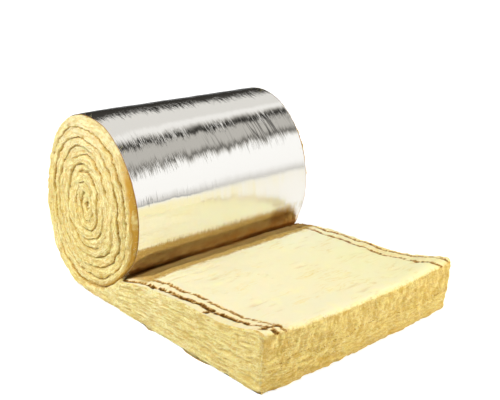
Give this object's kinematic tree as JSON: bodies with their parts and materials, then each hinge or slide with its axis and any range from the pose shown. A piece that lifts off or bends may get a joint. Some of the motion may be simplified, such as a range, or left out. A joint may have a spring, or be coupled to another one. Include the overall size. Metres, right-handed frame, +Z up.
{
  "type": "insulation roll",
  "caption": "Foil-faced glass-wool insulation blanket wound into a roll, facing outwards, with its free end laid flat on the floor, wool side up.",
  "frame": {"origin": "centre of the bounding box's base, on the floor", "axes": "+X from the roll towards the free end, +Y along the roll's axis, +Z up"},
  "size_m": [0.9162, 0.6, 0.4646],
  "materials": {
    "glass_wool": "matt, fibrous",
    "foil": "bright, finely creased"
  },
  "bodies": {
    "root": {"wool_blanket": "glass_wool", "foil_facing": "foil"}
  },
  "joints": []
}
